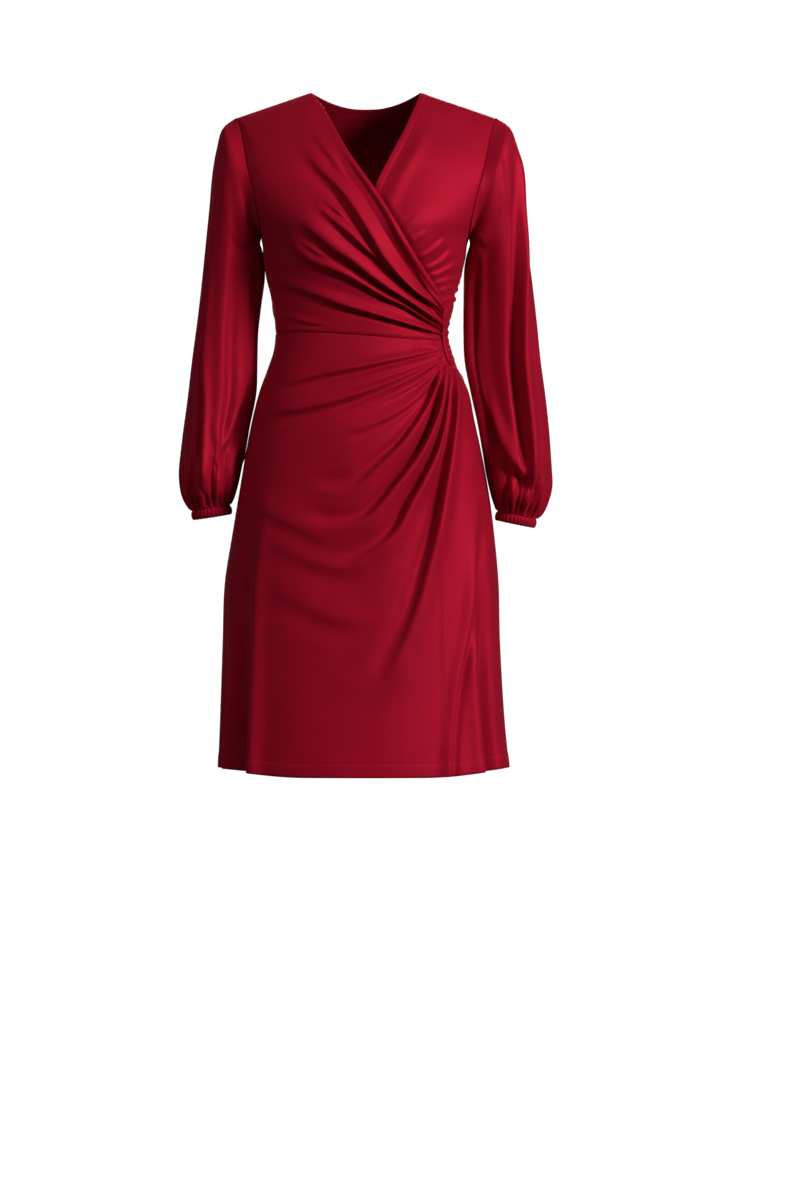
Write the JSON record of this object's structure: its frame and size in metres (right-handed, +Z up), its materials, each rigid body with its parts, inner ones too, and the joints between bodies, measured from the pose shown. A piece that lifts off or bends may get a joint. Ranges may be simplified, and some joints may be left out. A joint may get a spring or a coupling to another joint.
{
  "type": "wrap dress",
  "caption": "Worn knee-length wrap dress in dark red jersey, V neck, right front gathered into a side band, draped skirt, long bishop sleeves with narrow elastic cuffs.",
  "frame": {"origin": "midway between the two shoulder seams, at the height of their neck ends, where the worn dress hangs", "axes": "+Z up along the dress, -Y is the front, +X is the wearer's left"},
  "size_m": [0.5578, 0.3048, 1.0241],
  "materials": {
    "jersey": "soft sheen fine jersey knit",
    "jersey_cuff": "soft sheen fine jersey knit over elastic"
  },
  "bodies": {
    "root": {"bodice_front_right": "jersey", "bodice_front_left": "jersey", "bodice_back": "jersey", "skirt_front": "jersey", "skirt_back": "jersey", "side_band": "jersey", "sleeve_right": "jersey", "sleeve_left": "jersey", "cuff_right": "jersey_cuff", "cuff_left": "jersey_cuff"}
  },
  "joints": []
}
